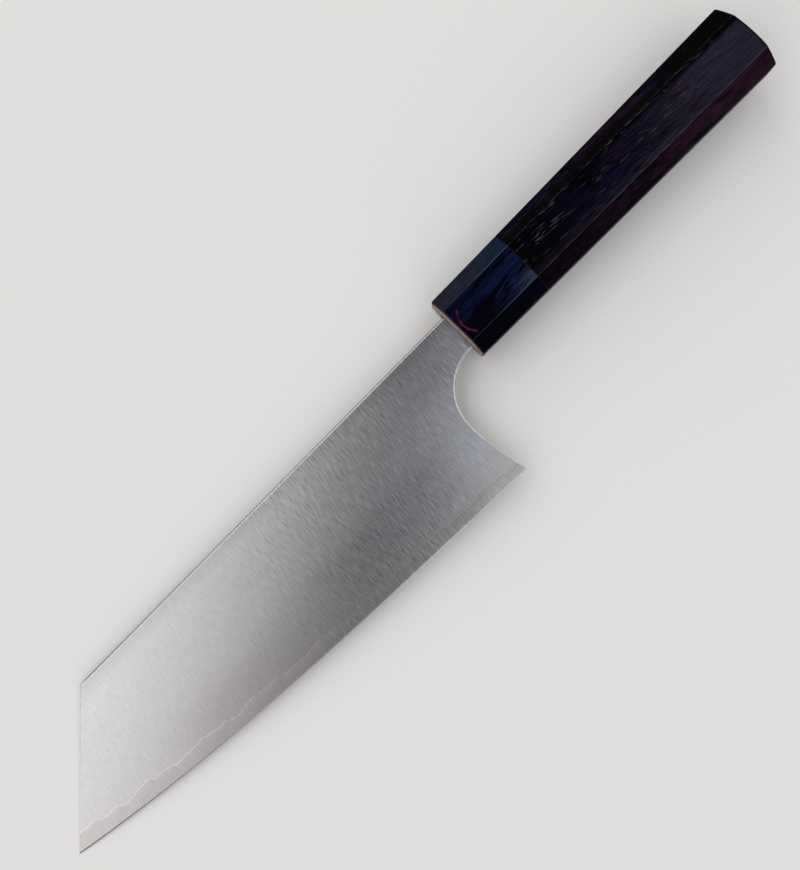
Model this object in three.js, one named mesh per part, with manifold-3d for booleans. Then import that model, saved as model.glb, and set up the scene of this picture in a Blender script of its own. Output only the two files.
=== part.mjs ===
// Bunka kitchen knife: a three-layer blade whose hidden tang is bedded in an eight-sided wooden handle.
// Millimetres. Each piece is shaped in the knife's own frame: +X to the tip, +Y to the cutting edge and
// +Z out of the left face, with the origin on the handle's axis at the ferrule's front face.
// The finished knife lies on its right side on the plane z = 0, +Z up, centred on the origin.
import * as THREE from 'three';
import { mergeVertices } from 'three/addons/utils/BufferGeometryUtils.js';
import Module from 'manifold-3d';

const { lerp, degToRad } = THREE.MathUtils;

// Blade outline: places ahead of the ferrule's face, depths below the line of the spine
const spineAboveAxis = 5.8;
const neckDepth = 13.1;
const choilStart = 0.5;
const choilRadius = 17.3;
const heelAhead = 15.1;
const heelDepth = 51.25;
const tipAhead = 197.5;
const tipDepth = 36.9;
const tipCornerAhead = 159.8;
const edgeSlopeAtHeel = degToRad(2.15);
const edgeSlopeAtTip = degToRad(9.9);

// Blade section: thickness along the spine, a convex grind and a fine bevel on the edge
const spineThicknessAtNeck = 2.3;
const spineThicknessAtTipCorner = 1.7;
const spineEase = 0.45;
const grindRoundness = 1.5;
const thicknessBehindEdge = 0.2;
const edgeBevelHeight = 0.35;

// Lamination: how far the hard core shows above the edge, and the waves that forging leaves in that line
const coreShowsAtHeel = 3.6;
const coreShowsAtTip = 5.2;
const longWaveHeight = 0.45;
const longWaveLength = 23;
const shortWaveHeight = 0.25;
const shortWaveLength = 8.7;
const weldLine = 0.01;

// Tang: narrower than the neck, tapering to its end inside the handle
const neckInset = 3;
const neckStepLength = 0.4;
const tangReach = 88;
const tangFrontHeight = 10.6;
const tangEndHeight = 5.2;

// Handle: an octagon that grows from the front to the butt
const handleReach = 126.5;
const ferruleLength = 28;
const frontHeight = 22.5;
const buttHeight = 25.1;
const frontThickness = 19.4;
const buttThickness = 21.6;
const frontSideFlat = 12.6;
const buttSideFlat = 14;
const frontRidgeFlat = 10;
const buttRidgeFlat = 11.2;
const frontChamfer = 0.5;
const buttRound = 0.8;
const buttDomeRadius = 60;
const buttDomeTowardsEdge = 2;

// Inside the handle: the dowel that joins ferrule and body, the hole for the tang, and the adhesive
const dowelWall = 1;
const dowelInFerrule = 18;
const dowelInBody = 24;
const tangHoleMargin = 0.8;
const tangHoleSpare = 2;
const mouthMargin = 0.8;
const mouthSealDepth = 2.4;
const mouthSealSink = 0.2;
const beddingMargin = 0.6;
const seamThickness = 0.2;
const glueGap = 0.1;
const touchGap = 0.03;

// Fineness of the curved surfaces
const stationStep = 3.6;
const claddingRows = 5;
const roundSides = 32;
const choilSteps = 14;
const domeRings = 3;

// How far a cutter runs past what it cuts
const overcut = neckInset;

const wasm = await Module();
wasm.setup();

// Closed geometry from points and triangles, with its faces turned outwards.
function closedGeometry(points, triangles) {
  const whole = triangles.filter(([a, b, c]) => {
    const pairs = [[a, b], [b, c], [c, a]];
    return pairs.every(([p, q]) => points[p].distanceToSquared(points[q]) > 0);
  });
  const volume = whole.reduce((sum, [a, b, c]) => {
    const normal = new THREE.Vector3().crossVectors(points[b], points[c]);
    return sum + points[a].dot(normal);
  }, 0);
  const outward = volume > 0 ? whole : whole.map(([a, b, c]) => [a, c, b]);
  const geometry = new THREE.BufferGeometry().setFromPoints(points);
  geometry.setIndex(outward.flat());
  return geometry;
}

// Skin over a row of closed sections with equal numbers of points, each end capped from its middle.
function loft(sections) {
  const count = sections[0].length;
  const points = sections.flat();
  const triangles = [];
  for (let ring = 0; ring + 1 < sections.length; ring += 1) {
    for (let side = 0; side < count; side += 1) {
      const next = (side + 1) % count;
      const [a, d] = [ring * count + side, ring * count + next];
      const [b, c] = [a + count, d + count];
      triangles.push([a, b, c], [a, c, d]);
    }
  }
  [0, sections.length - 1].forEach((ring, end) => {
    const middle = new THREE.Vector3();
    sections[ring].forEach((point) => middle.addScaledVector(point, 1 / count));
    const hub = points.push(middle) - 1;
    for (let side = 0; side < count; side += 1) {
      const [a, b] = [ring * count + side, ring * count + (side + 1) % count];
      triangles.push(end ? [hub, b, a] : [hub, a, b]);
    }
  });
  return closedGeometry(points, triangles);
}

function solidOf(geometry) {
  const bare = geometry.clone();
  bare.deleteAttribute('normal');
  bare.deleteAttribute('uv');
  const merged = mergeVertices(bare);
  const vertProperties = new Float32Array(merged.attributes.position.array);
  const triVerts = new Uint32Array(merged.index.array);
  return new wasm.Manifold(new wasm.Mesh({ numProp: 3, vertProperties, triVerts }));
}

function geometryOf(solid) {
  const mesh = solid.getMesh();
  const geometry = new THREE.BufferGeometry();
  geometry.setAttribute('position', new THREE.BufferAttribute(mesh.vertProperties, 3));
  geometry.setIndex(new THREE.BufferAttribute(mesh.triVerts, 1));
  return geometry;
}

function cut(geometry, cutters) {
  const left = cutters.reduce((solid, cutter) => solid.subtract(solidOf(cutter)), solidOf(geometry));
  return geometryOf(left);
}

function join(geometries) {
  const [first, ...rest] = geometries.map(solidOf);
  return geometryOf(rest.reduce((solid, other) => solid.add(other), first));
}

// Round bar along the handle's axis between two places.
function bar(diameter, from, to) {
  const geometry = new THREE.CylinderGeometry(diameter / 2, diameter / 2, Math.abs(to - from), roundSides);
  return geometry.rotateZ(Math.PI / 2).translate((from + to) / 2, 0, 0);
}

// Square-edged block between two places along the axis, between two heights, and of a thickness.
function block(from, to, low, high, thickness) {
  const geometry = new THREE.BoxGeometry(Math.abs(to - from), high - low, thickness);
  return geometry.translate((from + to) / 2, (low + high) / 2, 0);
}

// Blade outline

const spineY = -spineAboveAxis;
const neckY = spineY + neckDepth;
const heelY = spineY + heelDepth;
const tipY = spineY + tipDepth;

// Line of the cutting edge: one cubic from heel to tip with the stated slopes at its ends.
function edgeY(x) {
  const length = tipAhead - heelAhead;
  const t = (x - heelAhead) / length;
  const heelRise = Math.tan(edgeSlopeAtHeel) * length;
  const tipRise = Math.tan(edgeSlopeAtTip) * length;
  const fromHeel = heelY * (1 - t) ** 2 * (1 + 2 * t) - heelRise * t * (1 - t) ** 2;
  const fromTip = tipY * t ** 2 * (3 - 2 * t) + tipRise * t ** 2 * (1 - t);
  return fromHeel + fromTip;
}

// Stock outside the choil: under the neck, round a quarter arc and in one long curve down to the heel.
function choilCutter() {
  const radius = Math.min(choilRadius, heelY - neckY - overcut);
  const deepest = new THREE.Vector2(choilStart + radius, neckY + radius);
  const bend = new THREE.Vector2(deepest.x, (deepest.y + heelY) / 2);
  const heel = new THREE.Vector2(heelAhead, heelY);
  const pastHeel = heel.clone().add(heel.clone().sub(bend).setLength(overcut));
  const outline = new THREE.Shape();
  outline.moveTo(-neckInset, neckY);
  outline.lineTo(choilStart, neckY);
  outline.absarc(choilStart, deepest.y, radius, -Math.PI / 2, 0, false);
  outline.quadraticCurveTo(bend.x, bend.y, heel.x, heel.y);
  outline.lineTo(pastHeel.x, pastHeel.y);
  outline.lineTo(-neckInset, pastHeel.y);
  return bladeCutter(outline);
}

// Stock beyond the straight cut that drops from the spine's front corner to the tip.
function tipCutter() {
  const corner = new THREE.Vector2(tipCornerAhead, spineY);
  const tip = new THREE.Vector2(tipAhead, tipY);
  const along = tip.clone().sub(corner).setLength(overcut);
  const start = corner.clone().sub(along);
  const end = tip.clone().add(along);
  const outline = new THREE.Shape([start, new THREE.Vector2(end.x + overcut, start.y)]);
  outline.lineTo(end.x + overcut, end.y);
  outline.lineTo(end.x, end.y);
  return bladeCutter(outline);
}

function bladeCutter(outline) {
  const depth = 2 * (spineThicknessAtNeck + overcut);
  const settings = { depth, bevelEnabled: false, curveSegments: choilSteps };
  return new THREE.ExtrudeGeometry(outline, settings).translate(0, 0, -depth / 2);
}

// Blade section

function spineHalf(x) {
  const t = Math.max(x, 0) / tipCornerAhead;
  return lerp(spineThicknessAtNeck, spineThicknessAtTipCorner, t) / 2;
}

// Half thickness of the blade: convex from the spine down to the shoulder of the edge bevel.
function faceHalf(x, y) {
  const shoulderY = edgeY(Math.max(x, 0)) - edgeBevelHeight;
  const share = (shoulderY - y) / (shoulderY - spineY);
  const rise = 1 - (1 - share) ** grindRoundness;
  return lerp(thicknessBehindEdge / 2, spineHalf(x), rise);
}

// Where down the blade its half thickness has a given value: the inverse of faceHalf.
function faceY(x, half) {
  const shoulderY = edgeY(Math.max(x, 0)) - edgeBevelHeight;
  const rise = (half - thicknessBehindEdge / 2) / (spineHalf(x) - thicknessBehindEdge / 2);
  const share = 1 - (1 - rise) ** (1 / grindRoundness);
  return shoulderY - share * (shoulderY - spineY);
}

// Lower limit of the cladding: a wavy line at a slowly growing height above the edge.
function claddingLimitY(x) {
  const place = Math.max(x, 0);
  const shows = lerp(coreShowsAtHeel, coreShowsAtTip, (place - heelAhead) / (tipAhead - heelAhead));
  const longWave = longWaveHeight * Math.sin((2 * Math.PI * place) / longWaveLength);
  const shortWave = shortWaveHeight * Math.sin((2 * Math.PI * place) / shortWaveLength);
  return edgeY(place) - shows - longWave - shortWave;
}

function coreHalf(x) {
  const place = Math.max(x, 0);
  return faceHalf(place, claddingLimitY(place)) - weldLine;
}

// Places along the blade where its section is set: the tang's two ends, then evenly to past the tip.
function bladeStations() {
  const tangStations = [-tangReach, -neckInset];
  const first = -neckInset + neckStepLength;
  const last = tipAhead + overcut;
  const steps = Math.ceil((last - first) / stationStep);
  const rest = Array.from({ length: steps + 1 }, (_, step) => lerp(first, last, step / steps));
  return [...tangStations, ...rest];
}

// Half height of the tang at a place between its shoulder and its end.
function tangHalfHeight(x) {
  const t = (-x - neckInset) / (tangReach - neckInset);
  return lerp(tangFrontHeight, tangEndHeight, t) / 2;
}

const isTang = (x) => x <= -neckInset;

// Points down one side of a layer, from the spine to the lower limit, closer together under the spine.
function layerRows(x, limitY) {
  const [low, high] = isTang(x) ? [-tangHalfHeight(x), tangHalfHeight(x)] : [spineY, limitY];
  const below = Array.from({ length: claddingRows }, (_, row) => (row + 1) / claddingRows);
  return [low, low + spineEase, ...below.map((t) => lerp(low + spineEase, high, t))];
}

function claddingBlank(side) {
  const sections = bladeStations().map((x) => {
    const limitY = claddingLimitY(x);
    const rows = layerRows(x, limitY);
    const inner = coreHalf(x) + weldLine;
    const outerPoint = (y, row) => {
      const ease = row === 0 ? spineEase : 0;
      const half = !isTang(x) && y === limitY ? inner : faceHalf(x, y) - ease;
      return new THREE.Vector3(x, y, side * half);
    };
    const outerPoints = rows.map(outerPoint);
    const innerPoints = rows.map((y) => new THREE.Vector3(x, y, side * inner)).reverse();
    return [...outerPoints, ...innerPoints];
  });
  return loft(sections);
}

function coreBlank() {
  const sections = bladeStations().map((x) => {
    const half = coreHalf(x);
    const limitY = faceY(x, half);
    const flat = layerRows(x, limitY).map((y) => ({ y, half }));
    const lowest = flat.at(-1);
    const shoulderY = edgeY(x) - edgeBevelHeight;
    const middleY = (limitY + shoulderY) / 2;
    const ground = [middleY, shoulderY].map((y) => ({ y, half: faceHalf(x, y) }));
    const faces = isTang(x) ? [...flat, lowest, lowest] : [...flat, ...ground];
    const apexY = isTang(x) ? lowest.y : edgeY(x);
    const left = faces.map((place) => new THREE.Vector3(x, place.y, place.half));
    const right = faces.map((place) => new THREE.Vector3(x, place.y, -place.half)).reverse();
    return [...left, new THREE.Vector3(x, apexY, 0), ...right];
  });
  return loft(sections);
}

function bladeLayer(blank) {
  return cut(blank, [choilCutter(), tipCutter()]);
}

// Handle

// Octagon of the handle at a place on its axis, drawn in by an inset all round.
function octagon(x, inset) {
  const t = -x / handleReach;
  const halfHeight = lerp(frontHeight, buttHeight, t) / 2;
  const halfThickness = lerp(frontThickness, buttThickness, t) / 2;
  const halfSide = lerp(frontSideFlat, buttSideFlat, t) / 2;
  const halfRidge = lerp(frontRidgeFlat, buttRidgeFlat, t) / 2;
  const quarter = [[halfHeight, halfRidge], [halfSide, halfThickness]];
  const half = [...quarter, ...quarter.map(([y, z]) => [-y, z]).reverse()];
  const whole = [...half, ...half.map(([y, z]) => [y, -z]).reverse()];
  const shrunk = new THREE.Vector2(1 - inset / halfHeight, 1 - inset / halfThickness);
  return whole.map(([y, z]) => new THREE.Vector3(x, y * shrunk.x, z * shrunk.y));
}

// The same octagon with the middle of each flat added, for the domed butt.
function octagonWithMiddles(x, inset) {
  const corners = octagon(x, inset);
  return corners.flatMap((corner, index) => {
    const next = corners[(index + 1) % corners.length];
    return [corner, corner.clone().lerp(next, 1 / 2)];
  });
}

const ferruleBack = -ferruleLength;
const bodyFront = ferruleBack - seamThickness - 2 * touchGap;
const dowelFront = ferruleBack + dowelInFerrule;
const dowelBack = bodyFront - dowelInBody;
const tangHoleEnd = -tangReach - tangHoleSpare;
const mouthLow = spineY - mouthMargin;
const mouthHigh = neckY + mouthMargin;
const mouthWidth = spineThicknessAtNeck + 2 * mouthMargin;
const sealBack = -mouthSealSink - mouthSealDepth;
const slotHalfHeight = tangHalfHeight(Math.min(dowelFront, -neckInset)) + beddingMargin;
const slotWidth = spineThicknessAtNeck + 2 * beddingMargin;
const dowelDiameter = 2 * (Math.hypot(slotHalfHeight, slotWidth / 2) + dowelWall);
const boreDiameter = dowelDiameter + 2 * glueGap;
const tangHoleRadius = Math.hypot(tangHalfHeight(dowelBack), spineThicknessAtNeck / 2) + tangHoleMargin;

function ferruleGeometry() {
  const outside = loft([
    octagon(0, frontChamfer),
    octagon(-frontChamfer, 0),
    octagon(ferruleBack, 0),
  ]);
  const mouth = block(overcut, dowelFront, mouthLow, mouthHigh, mouthWidth);
  const bore = bar(boreDiameter, dowelFront + glueGap, ferruleBack - overcut);
  return cut(outside, [mouth, bore]);
}

function seamGeometry() {
  const outside = loft([octagon(ferruleBack - touchGap, 0), octagon(bodyFront + touchGap, 0)]);
  return cut(outside, [bar(boreDiameter, ferruleBack + overcut, bodyFront - overcut)]);
}

// Where along the handle the domed butt has a point at a given place across.
function domeX(y, z) {
  const offCentre = Math.hypot(y - buttDomeTowardsEdge, z);
  return -handleReach + buttDomeRadius - Math.sqrt(buttDomeRadius ** 2 - offCentre ** 2);
}

// Ring round the butt: each point of the octagon at the dome, or a little ahead of it.
function buttRing(inset, ahead) {
  return octagonWithMiddles(-handleReach, inset).map((point, index) => {
    const x = domeX(point.y, point.z) + ahead;
    return octagonWithMiddles(x, inset)[index];
  });
}

// Body: straight to the butt's rounded rim, which follows the dome, then the dome itself.
function bodyGeometry() {
  const rim = buttRing(buttRound, 0);
  const dome = Array.from({ length: domeRings }, (_, ring) => {
    const share = 1 - (ring + 1) / domeRings;
    return rim.map((point) => {
      const [y, z] = [point.y * share, point.z * share];
      return new THREE.Vector3(domeX(y, z), y, z);
    });
  });
  const roundMiddle = buttRound * (1 - Math.SQRT1_2);
  const outside = loft([
    octagonWithMiddles(bodyFront, 0),
    buttRing(0, buttRound),
    buttRing(roundMiddle, roundMiddle),
    rim,
    ...dome,
  ]);
  const bore = bar(boreDiameter, bodyFront + overcut, dowelBack - glueGap);
  const tangHole = bar(2 * tangHoleRadius, dowelBack + overcut, tangHoleEnd);
  return cut(outside, [bore, tangHole]);
}

function dowelGeometry() {
  const slot = block(dowelFront + overcut, dowelBack - overcut, -slotHalfHeight, slotHalfHeight, slotWidth);
  return cut(bar(dowelDiameter, dowelFront, dowelBack), [slot]);
}

// Room for neck and tang with a gap all round, open at the front.
function tangRoom(gap) {
  const half = spineThicknessAtNeck / 2 + gap;
  const step = -neckInset - gap;
  const end = -tangReach - gap;
  const section = (x, low, high) => {
    const corners = [[low - gap, half], [high + gap, half], [high + gap, -half], [low - gap, -half]];
    return corners.map(([y, z]) => new THREE.Vector3(x, y, z));
  };
  const tangSection = (x, place) => section(x, -tangHalfHeight(place), tangHalfHeight(place));
  return loft([
    section(overcut, spineY, neckY),
    section(step, spineY, neckY),
    tangSection(step, -neckInset),
    tangSection(end, -tangReach),
  ]);
}

// Adhesive round the tang: behind the mouth's seal, in the dowel's slot and in the body's hole.
function beddingGeometry() {
  const mouthEnd = dowelFront + touchGap;
  const slotEnd = dowelBack - 2 * touchGap;
  const inMouth = block(
    sealBack - touchGap,
    mouthEnd,
    mouthLow + glueGap,
    mouthHigh - glueGap,
    mouthWidth - 2 * glueGap,
  );
  const inDowel = block(
    mouthEnd + overcut,
    slotEnd,
    -slotHalfHeight + glueGap,
    slotHalfHeight - glueGap,
    slotWidth - 2 * glueGap,
  );
  const inBody = bar(2 * (tangHoleRadius - glueGap), dowelBack - touchGap, tangHoleEnd + glueGap);
  return cut(join([inMouth, inDowel, inBody]), [tangRoom(glueGap)]);
}

// Plug that closes the ferrule's mouth round the neck.
function mouthSealGeometry() {
  const plug = block(
    -mouthSealSink,
    sealBack,
    mouthLow + touchGap,
    mouthHigh - touchGap,
    mouthWidth - 2 * touchGap,
  );
  return cut(plug, [tangRoom(touchGap)]);
}

// Materials and assembly

function finish(color, roughness, metalness) {
  return new THREE.MeshStandardMaterial({ color, roughness, metalness });
}

const satinSteel = finish(0xa9a7a4, 0.38, 1);
const coreSteel = finish(0xb3aca6, 0.34, 1);
const blueWood = finish(0x0c0f22, 0.4, 0);
const plumWood = finish(0x160e16, 0.45, 0);
const beech = finish(0xb58a5c, 0.7, 0);
const curedResin = finish(0xc9b27c, 0.5, 0);
const sealingResin = finish(0x6d4d41, 0.55, 0);
const seamGlue = finish(0x4d4a55, 0.5, 0);

function piece(name, geometry, material) {
  const mesh = new THREE.Mesh(geometry, material);
  mesh.name = name;
  return mesh;
}

const blade = new THREE.Group();
blade.add(
  piece('core_steel', bladeLayer(coreBlank()), coreSteel),
  piece('left_cladding', bladeLayer(claddingBlank(1)), satinSteel),
  piece('right_cladding', bladeLayer(claddingBlank(-1)), satinSteel),
);

const handle = new THREE.Group();
handle.add(
  piece('ferrule', ferruleGeometry(), blueWood),
  piece('seam_glue_line', seamGeometry(), seamGlue),
  piece('handle_body', bodyGeometry(), plumWood),
  piece('joining_dowel', dowelGeometry(), beech),
  piece('tang_bedding', beddingGeometry(), curedResin),
  piece('mouth_seal', mouthSealGeometry(), sealingResin),
);

// The knife lies on the lower front edge of the ferrule and on the tip, so its axis dips to the tip.
const knife = new THREE.Group();
knife.add(blade, handle);
const restCorners = octagon(-frontChamfer, 0);
const restDrop = Math.max(...restCorners.map((corner) => corner.z));
knife.rotation.y = Math.atan2(restDrop, tipAhead + frontChamfer);

const lyingKnife = new THREE.Group();
lyingKnife.add(knife);
lyingKnife.updateMatrixWorld(true);
const space = new THREE.Box3().setFromObject(lyingKnife, true);
const middle = space.getCenter(new THREE.Vector3());
knife.position.set(-middle.x, -middle.y, -space.min.z);

export default lyingKnife;
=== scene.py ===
"""Bunka knife: detailed pieces, finishes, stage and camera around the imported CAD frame.

Each piece is shaped in the knife's own frame, in metres: +X to the tip, +Y to the cutting edge and
+Z out of the left face, with the origin on the handle's axis at the ferrule's front face. One
matrix lays them on the floor.
"""

import math

import bmesh
import bpy
import numpy as np
from mathutils import Matrix, Vector
from mathutils.geometry import delaunay_2d_cdt


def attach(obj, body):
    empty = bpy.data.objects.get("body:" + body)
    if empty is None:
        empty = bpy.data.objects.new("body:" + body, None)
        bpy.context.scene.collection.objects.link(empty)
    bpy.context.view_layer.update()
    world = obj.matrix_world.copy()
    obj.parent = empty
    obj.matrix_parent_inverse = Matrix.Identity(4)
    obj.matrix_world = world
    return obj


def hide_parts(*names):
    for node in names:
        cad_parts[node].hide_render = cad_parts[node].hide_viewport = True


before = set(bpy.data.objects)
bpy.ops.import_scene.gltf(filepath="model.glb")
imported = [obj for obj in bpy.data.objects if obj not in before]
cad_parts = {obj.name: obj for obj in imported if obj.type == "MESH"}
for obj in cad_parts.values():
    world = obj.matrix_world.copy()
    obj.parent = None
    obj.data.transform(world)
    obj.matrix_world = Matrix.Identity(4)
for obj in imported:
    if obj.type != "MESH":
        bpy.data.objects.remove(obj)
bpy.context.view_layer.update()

bl_info = {
    "name": "Bunka Knife",
    "version": (1, 0, 0),
    "blender": (4, 5, 0),
    "location": "3D View > Sidebar > Knife",
    "description": "Builds a bunka kitchen knife with its finishes, floor, light and camera",
    "category": "Object",
}

MM = 0.001
BODY = "root"

SHARP_TURN = math.radians(32)  # edges that turn further are shaded sharp
SAME_POINT = 0.0005 * MM  # points nearer than this are one
LEAST_ROUND = 0.03 * MM  # narrower rounds are left out
FLOOR_DROP = 0.2 * MM  # keeps the floor clear of the knife

# Brightness of the light from places across the picture, -1 on its left and 1 on its right
LIGHT_LEVELS = (
    (-1.0, 0.72), (-0.8, 1.0), (-0.6, 1.25), (-0.45, 1.42), (-0.36, 1.45), (-0.28, 1.31),
    (-0.22, 1.0), (-0.16, 0.70), (-0.11, 0.29), (-0.06, 0.02), (-0.02, 0.15), (0.02, 0.46),
    (0.07, 0.79), (0.13, 1.0), (0.2, 1.06), (0.3, 1.02), (0.45, 0.86), (0.6, 0.6), (0.72, 0.25),
    (1.0, 0.2),
)
# Red, green and blue of the light from places across the picture up to each limit
LIGHT_TINTS = (
    (-0.1, (1.005, 0.995, 0.997)),
    (0.1, (0.93, 0.98, 1.1)),
    (0.25, (0.965, 0.985, 1.045)),
    (1.0, (0.985, 0.985, 1.0)),
)
# Two places up the picture, and the light's strength below the first and above the second
LIGHT_FADE = (0.72, 0.92, 2.0, 0.6)


# Properties

def length(description, millimetres):
    """A length, written in millimetres and held in metres."""
    return bpy.props.FloatProperty(
        description=description, default=millimetres * MM, unit="LENGTH", precision=5
    )


def angle(description, degrees):
    """An angle, written in degrees and held in radians."""
    return bpy.props.FloatProperty(
        description=description, default=math.radians(degrees), subtype="ANGLE"
    )


def number(description, value):
    """A plain number."""
    return bpy.props.FloatProperty(description=description, default=value)


def tint(description, *colour):
    """A colour, in linear values."""
    return bpy.props.FloatVectorProperty(
        description=description, default=colour, subtype="COLOR", size=3, min=0, max=1
    )


def lengths(description, *millimetres):
    """Two lengths or a place, written in millimetres and held in metres."""
    return bpy.props.FloatVectorProperty(
        description=description, default=[part * MM for part in millimetres],
        size=len(millimetres), unit="LENGTH", precision=5,
    )


def labelled(group):
    """Gives each property of a group the words of its identifier as its name."""
    for identifier, entry in group.__annotations__.items():
        entry.keywords["name"] = identifier.replace("_", " ").capitalize()
    return group


@labelled
class BladeSizes(bpy.types.PropertyGroup):
    """Outline, section and layers of the blade, as in the part's source."""

    spine_above_axis: length("From the handle's axis to the spine", 5.8)
    neck_depth: length("Height of the neck where it leaves the ferrule", 13.1)
    choil_start: length("Where the choil's arc starts ahead of the ferrule", 0.5)
    choil_radius: length("Radius of the choil's arc", 17.3)
    heel_ahead: length("Heel ahead of the ferrule", 15.1)
    heel_depth: length("Heel below the line of the spine", 51.25)
    tip_ahead: length("Tip ahead of the ferrule", 197.5)
    tip_depth: length("Tip below the line of the spine", 36.9)
    tip_corner_ahead: length("Spine's front end ahead of the ferrule", 159.8)
    edge_slope_at_heel: angle("Rise of the cutting edge at the heel", 2.15)
    edge_slope_at_tip: angle("Rise of the cutting edge at the tip", 9.9)
    spine_at_neck: length("Thickness of the spine at the neck", 2.3)
    spine_at_corner: length("Thickness of the spine at its front corner", 1.7)
    grind_roundness: number("Power of the convex grind", 1.5)
    behind_edge: length("Thickness at the shoulder of the edge bevel", 0.2)
    bevel_height: length("Height of the edge bevel", 0.35)
    core_at_heel: length("Height of bare core steel at the heel", 3.6)
    core_at_tip: length("Height of bare core steel at the tip", 5.2)
    long_wave: length("Height of the long waves in the lamination line", 0.45)
    long_wave_pitch: length("Length of the long waves", 23)
    short_wave: length("Height of the short waves in the lamination line", 0.25)
    short_wave_pitch: length("Length of the short waves", 8.7)
    notch: length("Depth of the lamination line's notches near the tip", 1.0)
    notch_pitch: length("Spacing of the notches", 10.4)
    tooth: length("Depth of the lamination line's fine teeth near the tip", 0.4)
    tooth_pitch: length("Spacing of the fine teeth", 2.7)
    weld_line: length("Gap that keeps the layers apart", 0.01)
    neck_inset: length("How far the full neck runs into the ferrule", 3)
    neck_step: length("Length of the step from neck to tang", 0.4)
    tang_reach: length("End of the tang behind the ferrule's front", 88)
    tang_front: length("Height of the tang behind the neck", 10.6)
    tang_end: length("Height of the tang at its end", 5.2)
    spine_round: length("Width of the round on the edges of the spine", 0.65)
    choil_round: length("Width of the polished round on the choil's edges", 0.8)
    neck_round: length("Width of the polished round under the neck", 0.5)
    low_choil_round: length("Width of the round below the choil's arc", 0.45)
    tip_cut_round: length("Width of the round on the angled tip cut", 0.2)
    thin_round: length("Width of the round where it runs out", 0.04)
    pale_line: length("Width of the pale line along the lamination", 0.5)
    mesh_step: length("Spacing of the points on the blade's faces", 2.4)
    limit_step: length("Spacing of the points on the lamination line", 0.8)
    edge_step: length("Spacing of the points on the edge and its bevel", 1.4)


@labelled
class HandleSizes(bpy.types.PropertyGroup):
    """Octagon, ends and inner bores of the handle, as in the part's source."""

    handle_reach: length("Length of the handle", 126.5)
    ferrule_length: length("Length of the ferrule", 28)
    height: lengths("Height of the octagon at the front and at the butt", 22.5, 25.1)
    thickness: lengths("Thickness of the octagon at the front and at the butt", 19.4, 21.6)
    side_flat: lengths("Width of the side flats at the front and at the butt", 12.6, 14)
    ridge_flat: lengths("Width of the ridge flats at the front and at the butt", 10, 11.2)
    front_chamfer: length("Chamfer round the ferrule's front face", 0.5)
    butt_round: length("Radius of the butt's rim", 0.8)
    butt_dome_radius: length("Radius of the domed butt", 60)
    butt_dome_towards_edge: length("From the axis to the dome's middle", 2)
    facet_round: length("Radius on the edges between the flats", 0.3)
    seam_thickness: length("Thickness of the glue line", 0.2)
    touch_gap: length("Gap between pieces that touch", 0.03)
    bore_diameter: length("Bore for the joining dowel", 14.08)
    tang_hole_diameter: length("Hole behind the dowel for the tang", 9.42)
    dowel_in_ferrule: length("Depth of the dowel in the ferrule", 18)
    dowel_in_body: length("Depth of the dowel in the body", 24)
    tang_hole_end: length("End of the tang's hole behind the front", 90)
    mouth_low: length("Spine side of the ferrule's mouth", 6.6)
    mouth_high: length("Edge side of the ferrule's mouth", 8.1)
    mouth_width: length("Width of the ferrule's mouth", 3.9)


@labelled
class KnifeFinish(bpy.types.PropertyGroup):
    """Colours of the steels, woods, glues and floor, a few of them partly painted sheen or
    highlight.
    """

    satin_steel: tint("Ground cladding steel", 0.557, 0.551, 0.553)
    edge_steel: tint("Ground steel near the edge", 0.513, 0.500, 0.470)
    warm_steel: tint("Ground cladding steel near the tip", 0.558, 0.547, 0.548)
    core_steel: tint("Bare core steel at the edge", 0.515, 0.487, 0.484)
    scratch_lean: angle("Lean of the grinding lines off the blade's height", 4)
    line_gain: number("How much paler the lamination line is near the tip", 0.27)
    navy: tint("Dark stain of the ferrule", 0.0008, 0.0008, 0.003)
    streak_blue: tint("Lighter streaks in the ferrule", 0.0065, 0.0125, 0.052)
    # pale blue streaks, and worn facet edges with a painted highlight
    pale_blue_and_highlight: tint("Worn edges between the ferrule's flats", 0.10, 0.12, 0.17)
    figure_red: tint("Red layer in the ferrule's figure", 0.11, 0.014, 0.04)
    bare_front: tint("Unstained wood on the ferrule's front", 0.31, 0.235, 0.225)
    rim_brown: tint("Stained rim of the ferrule's front", 0.060, 0.028, 0.026)
    # painted sheen on the ferrule's spine-side facet, grey at the front and blue at the seam
    spine_sheen_grey: tint("Ferrule's spine side at the front", 0.021, 0.024, 0.036)
    spine_sheen_blue: tint("Ferrule's spine side at the seam", 0.011, 0.023, 0.051)
    plum_black: tint("Darkest stain of the body", 0.0009, 0.0007, 0.0018)
    indigo: tint("Indigo zones of the body", 0.0078, 0.0050, 0.0235)
    # violet stain, lightened towards the butt by painted sheen
    violet_and_sheen: tint("Greyer violet towards the butt", 0.0235, 0.0205, 0.037)
    red_brown: tint("Stain of the body's edge side", 0.028, 0.0105, 0.020)
    # worn facet edges with a painted highlight
    worn_violet_and_highlight: tint("Worn edges between the body's flats", 0.10, 0.09, 0.12)
    magenta: tint("Reddish zones of the body", 0.017, 0.0058, 0.017)
    fleck: tint("Pale filler in the open pores", 0.165, 0.155, 0.165)
    seam_glue: tint("Cured glue at the seam", 0.006, 0.007, 0.012)
    beech: tint("Wood of the joining dowel", 0.46, 0.27, 0.12)
    resin: tint("Cured adhesive round the tang", 0.50, 0.40, 0.19)
    mouth_resin: tint("Resin in the ferrule's mouth", 0.13, 0.075, 0.06)
    floor: tint("Pale floor under the knife", 0.92, 0.91, 0.88)


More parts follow.
